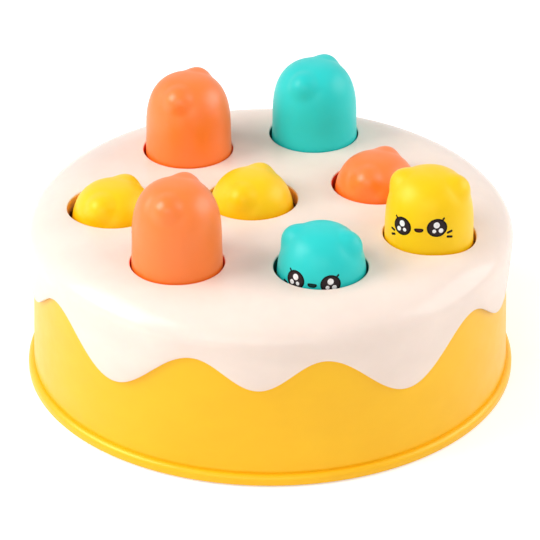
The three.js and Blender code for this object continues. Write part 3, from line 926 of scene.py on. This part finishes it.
def moulded(
    name, colour, gloss, depth=0.0, shine=0.3, tint=WHITE, grain=1.0, lumps=0.0, coat=0.0, blur=0.12
):
    """Moulded plastic: faint flow marks in colour and gloss, a fine skin and paler, duller rims.
    Gloss and blur are roughnesses of the plastic and of its coat, and lumps is a height."""
    look = Look(name)
    flow = look.noise(FLOW_SCALE, 3, 0.55, (1, 1, 1.8))
    cloud = look.noise(CLOUD_SCALE, 4, 0.6)
    fine = look.noise(GRAIN_SCALE)
    patches = look.ranged(look.noise(WEAR_SCALE, 3), 0.35, 0.7, 0.2, 1.0)
    edge = look.times(look.edge_mask(WEAR_RADIUS), patches)
    shades = [scaled(colour, shade) for shade in FLOW_SHADES]
    base = look.mix(look.ranged(flow, 0.3, 0.7, 0, 1), *shades)
    base = look.mix(look.ranged(cloud, 0.35, 0.75, 0, 0.25), base, scaled(colour, CLOUD_SHADE))
    base = look.mix(look.times(edge, 0.35), base, scaled(colour, WORN_SHADE))
    rough = look.ranged(cloud, 0.25, 0.75, gloss - 0.04, gloss + 0.05)
    rough = look.math("ADD", rough, look.times(edge, 0.12))
    skin = look.bump(fine, GRAIN_RISE * grain)
    skin = look.bump(cloud, CLOUD_RISE * grain, skin)
    if lumps:
        skin = look.bump(look.noise(LUMP_SCALE, 1), lumps, skin)
    return look.finish(
        {
            "Base Color": base,
            "Roughness": rough,
            "Normal": skin,
            "IOR": PLASTIC_IOR,
            "Specular IOR Level": shine,
            "Specular Tint": tint,
            "Coat Weight": coat,
            "Coat Roughness": blur,
            "Subsurface Weight": depth,
            "Subsurface Radius": SPREAD_SHARES,
            "Subsurface Scale": SPREAD_DEPTH * MM,
        }
    )


def head_plastic(name, colour, shine, coat, tint=WHITE):
    """Softer plastic with a faint, blurred coat."""
    return moulded(name, colour, 0.42, 0.12, shine, tint, grain=1.2, lumps=0.3, coat=coat, blur=0.35)


def inked(name, colour):
    """Pad-printed ink, a little uneven in thickness."""
    look = Look(name)
    blotch = look.noise(900, 3, 0.6)
    base = look.mix(look.ranged(blotch, 0.3, 0.7, 0, 1), scaled(colour, 0.85), scaled(colour, 1.15))
    rough = look.ranged(blotch, 0.3, 0.7, 0.44, 0.58)
    return look.finish(
        {
            "Base Color": base,
            "Roughness": rough,
            "Specular IOR Level": 0.12,
            "Normal": look.bump(look.noise(2600, 2), 0.006),
        }
    )


def steel_look():
    look = Look("steel")
    swirl = look.noise(2200, 3, 0.6)
    base = look.mix(swirl, linear(150, 152, 155), linear(205, 206, 208))
    return look.finish(
        {
            "Base Color": base,
            "Metallic": 1.0,
            "Roughness": look.ranged(swirl, 0.3, 0.7, 0.24, 0.42),
            "Normal": look.bump(swirl, 0.01),
        }
    )


def rubber_look():
    look = Look("rubber")
    dust = look.noise(600, 4, 0.65)
    base = look.mix(look.ranged(dust, 0.4, 0.7, 0, 1), linear(62, 62, 64), linear(88, 88, 90))
    return look.finish(
        {
            "Base Color": base,
            "Roughness": look.ranged(dust, 0.3, 0.7, 0.75, 0.92),
            "Normal": look.bump(look.noise(2500, 3), 0.03),
        }
    )


looks = {
    "icing": moulded("icing", linear(247, 227, 214), 0.33, depth=0.12, shine=0.2, grain=0.8, coat=0.35),
    "base": moulded("base", linear(255, 190, 18), 0.36, 0.08, 0.9, STRAW, coat=0.05),
    # Walls in the holes, coloured after the heads: painted bounce light from the heads in the gaps
    "liner_coral": moulded("liner_coral", linear(255, 74, 34), 0.5),
    "liner_teal": moulded("liner_teal", linear(24, 92, 86), 0.5),
    "liner_yellow": moulded("liner_yellow", linear(255, 188, 96), 0.5),
    "mole_coral": head_plastic("mole_coral", linear(255, 123, 24), 0.7, 0.25),
    "mole_teal": head_plastic("mole_teal", linear(40, 209, 204), 0.2, 0.2),
    "mole_yellow": head_plastic("mole_yellow", linear(255, 204, 2), 0.6, 0.12, STRAW),
    "inner_plastic": moulded("inner_plastic", linear(240, 238, 230), 0.45, grain=1.5),
    "steel": steel_look(),
    "rubber": rubber_look(),
    "ink": inked("ink", linear(18, 10, 8)),
    "iris": inked("iris", linear(46, 34, 36)),
    "mouth": inked("mouth", linear(80, 30, 12)),
    "mouth_teal": inked("mouth_teal", linear(8, 52, 50)),
    "glint": inked("glint", linear(248, 244, 242)),
}


# Screws and feet under the base


def screw_mesh(x, y):
    low, high = [corner[2] for corner in node_box("case_screw_1")]
    neck = low + SCREW_HEAD_HEIGHT
    groove = SHANK_RADIUS - THREAD_DEPTH
    profile = [
        (SCREW_HEAD_MIDDLE, low),
        *[(SCREW_HEAD_RADIUS - inwards, low + up) for inwards, up in SCREW_HEAD_ROUNDING],
        (SCREW_HEAD_RADIUS, neck),
        (SHANK_RADIUS, neck),
    ]
    for turn in range(int((high - neck - UNTHREADED) / THREAD_PITCH)):
        z = neck + THREAD_START + turn * THREAD_PITCH
        profile += [
            (groove, z),
            (SHANK_RADIUS, z + THREAD_PITCH * THREAD_CREST),
            (groove, z + THREAD_PITCH * THREAD_END),
        ]
    profile += [(groove, high - SCREW_POINT), (SCREW_TIP[0], high - SCREW_TIP[1])]
    shell = Shell()
    rings = lathe(shell, profile, SMALL_COLUMNS, x, y)
    shell.close(rings[0], (x, y, low))
    shell.close(rings[-1], (x, y, high))

    slots = []
    for turn in SLOT_TURNS:
        along = SLOT_HALF_LENGTH * np.array([math.cos(turn), math.sin(turn)])
        aside = SLOT_HALF_WIDTH * np.array([-math.sin(turn), math.cos(turn)])
        corners = [-along - aside, along - aside, along + aside, aside - along]
        cutter = Shell()
        cutter.block(
            [(x + a, y + b, low - SLOT_OVERRUN) for a, b in corners],
            [(x + a * SLOT_TAPER, y + b * SLOT_TAPER, low + SLOT_DEPTH) for a, b in corners],
        )
        slots.append(make_mesh("slot", cutter))
    screw = make_mesh("screw", shell)
    return combined("screw", screw, slots, "DIFFERENCE", SCREW_SHARP_DEGREES)


def rubber_foot_mesh(low, high):
    x, y, _ = (low + high) / 2
    radius = (high[0] - low[0]) / 2
    bottom, top = low[2], high[2]
    dish = bottom + DISH_DEPTH
    side = (radius - FOOT_ROUNDING, bottom + FOOT_ROUNDING)
    profile = [
        (radius * DISH_SHARE, dish),
        (radius * DISH_RIM_SHARE, bottom),
        (radius - FOOT_ROUNDING, bottom),
        *arc(side, FOOT_ROUNDING, -70, 0, 5),
        (radius, top),
    ]
    shell = Shell()
    rings = lathe(shell, profile, SMALL_COLUMNS, x, y)
    shell.close(rings[0], (x, y, dish))
    shell.close(rings[-1], (x, y, top))
    return make_mesh("rubber_foot", shell)


# The toy's pieces


def dress_cake():
    icing = make_piece("icing", icing_mesh(), looks["icing"], "housing", ["icing_cap"])
    weigh_normals(icing)
    # Each hole gets a wall coloured after its head, which is painted bounce light in the gap
    for key, (x, y) in HOLE_PLACES.items():
        slot = MOLES[key][1]
        look = looks[slot.replace("mole", "liner")]
        make_piece(f"liner_{key}", bounce_lining_mesh(f"liner_{key}", x, y), look, "housing")
    cake = make_piece("cake", base_mesh(), looks["base"], "housing", ["cake_base"])
    weigh_normals(cake)
    for n, (x, y) in enumerate(POST_PLACES, 1):
        screw = screw_mesh(x, y)
        make_piece(f"screw_{n}", screw, looks["steel"], "housing", [f"case_screw_{n}"])
        foot = rubber_foot_mesh(*node_box(f"rubber_foot_{n}"))
        make_piece(f"foot_{n}", foot, looks["rubber"], "housing", [f"rubber_foot_{n}"])


def dress_mole(key, degrees, slot, shift):
    """A head and its printed face. The mouth of a teal head has an ink of its own."""
    low, high = node_box(f"mole_head_{key}")
    length = high[2] - low[2]
    x, y = HOLE_PLACES[key] + np.array([shift, 0])
    head = placed(head_mesh(f"head_{key}", length), x, y, low[2], degrees)
    make_piece(f"head_{key}", head, looks[slot], f"mole_{key}", [f"mole_head_{key}"])
    place = PRINTS.get(key, PRINT_USUAL)
    for layer, lift, outlines in face_layers():
        shell = Shell()
        for outline in outlines:
            print_plate(shell, outline, lift * INK_LIFT, length, place)
        plate = placed(make_mesh(f"{layer}_{key}", shell), x, y, low[2], degrees)
        look = looks.get(slot.replace("mole", layer), looks[layer])
        make_piece(f"{layer}_{key}", plate, look, f"mole_{key}")


def dress_frame():
    """Better materials for the CAD nodes that stay. The first start that fits a name counts."""
    kept = {
        "floor_cover": "base",
        "guide_plate": "inner_plastic",
        "rocker_pin": "steel",
        "rocker": "inner_plastic",
        "plunger": "inner_plastic",
    }
    for name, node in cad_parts.items():
        for start, look in kept.items():
            if name.startswith(start):
                for material_slot in node.material_slots:
                    material_slot.material = looks[look]
                break


dress_cake()
for key, (degrees, slot, shift) in MOLES.items():
    dress_mole(key, degrees, slot, shift)
dress_frame()


# Floor, light and camera


def seen_rays(look):
    """One for rays from the camera, in a mirror or through glass."""
    rays = look.node("LightPath").outputs
    seen = look.math("MAXIMUM", rays["Is Camera Ray"], rays["Is Glossy Ray"])
    return look.math("MAXIMUM", seen, rays["Is Transmission Ray"])


def make_floor():
    """A pale floor that glows only where it is seen, so it turns white but keeps the shadow."""
    look = Look("floor")
    grain = look.noise(60, 3)
    base = look.mix(look.ranged(grain, 0.3, 0.7, 0, 1), linear(238, 237, 236), linear(242, 241, 240))
    glow = look.times(seen_rays(look), FLOOR_GLOW)
    material = look.finish(
        {
            "Base Color": base,
            "Roughness": 0.9,
            "Specular IOR Level": 0.0,
            "Emission Color": WHITE,
            "Emission Strength": glow,
        }
    )
    shell = Shell()
    shell.close(shell.ring(circle(FLOOR_RADIUS, 0, SMALL_COLUMNS)), (0, 0, 0))
    mesh = make_mesh("floor", shell)
    mesh.materials.append(material)
    floor = bpy.data.objects.new("floor", mesh)
    bpy.context.scene.collection.objects.link(floor)


def make_world():
    """White where it is seen, and plain soft light for the rest."""
    look = Look("studio", bpy.data.worlds)
    values = {"Color": WHITE, "Strength": look.ranged(seen_rays(look), 0, 1, AMBIENT, 1)}
    bpy.context.scene.world = look.finish(values, "Background", "OutputWorld")


def softbox(name, azimuth, elevation, distance, width, height, watts):
    """A soft light that faces the toy."""
    light = bpy.data.lights.new(name, "AREA")
    light.shape = "RECTANGLE"
    light.size = width
    light.size_y = height
    light.energy = watts
    lamp = bpy.data.objects.new(name, light)
    around, up = math.radians(azimuth), math.radians(elevation)
    away = Vector((math.sin(around) * math.cos(up), -math.cos(around) * math.cos(up), math.sin(up)))
    lamp.location = LAMP_AIM + away * distance
    lamp.rotation_euler = away.to_track_quat("Z", "Y").to_euler()
    bpy.context.scene.collection.objects.link(lamp)


def make_camera():
    data = bpy.data.cameras.new("camera")
    data.sensor_width = SENSOR
    data.lens = FOCAL_PIXELS / FRAME_PIXELS * SENSOR
    data.shift_x = SHIFT_PIXELS / FRAME_PIXELS
    camera = bpy.data.objects.new("camera", data)
    back = Vector((0, -math.cos(CAMERA_ELEVATION), math.sin(CAMERA_ELEVATION)))
    camera.location = (Vector((0, 0, AIM_HEIGHT)) + back * CAMERA_DISTANCE) * MM
    camera.rotation_euler = back.to_track_quat("Z", "Y").to_euler()
    bpy.context.scene.collection.objects.link(camera)
    bpy.context.scene.camera = camera


make_floor()
make_world()
for name, row in LAMPS.items():
    softbox(name, *row)
make_camera()
bpy.context.scene.view_settings.view_transform = "Standard"
